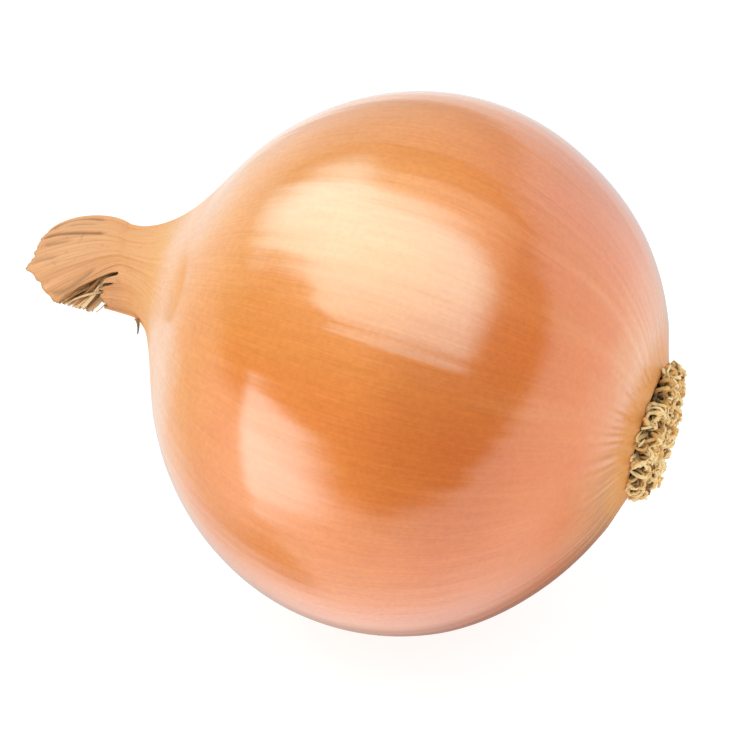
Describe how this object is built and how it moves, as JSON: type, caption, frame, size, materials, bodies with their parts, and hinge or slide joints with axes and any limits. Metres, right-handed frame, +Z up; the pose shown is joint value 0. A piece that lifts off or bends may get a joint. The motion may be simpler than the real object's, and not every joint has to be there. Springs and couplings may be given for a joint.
{
  "type": "brown onion",
  "caption": "Whole brown bulb onion lying on its side, with a dry folded neck at one end and a tuft of trimmed dry roots at the other.",
  "frame": {"origin": "centre of the small flat spot that the onion rests on, under its body", "axes": "+Z up from the surface, +X along the onion from its neck towards its roots, as seen from above"},
  "size_m": [0.092, 0.0749, 0.0742],
  "materials": {
    "onion_skin": "glossy",
    "dry_leaf": "matte",
    "dry_root": "matte"
  },
  "bodies": {
    "root": {"bulb": "onion_skin", "neck_leaf_ends": "dry_leaf", "root_tuft": "dry_root"}
  },
  "joints": []
}
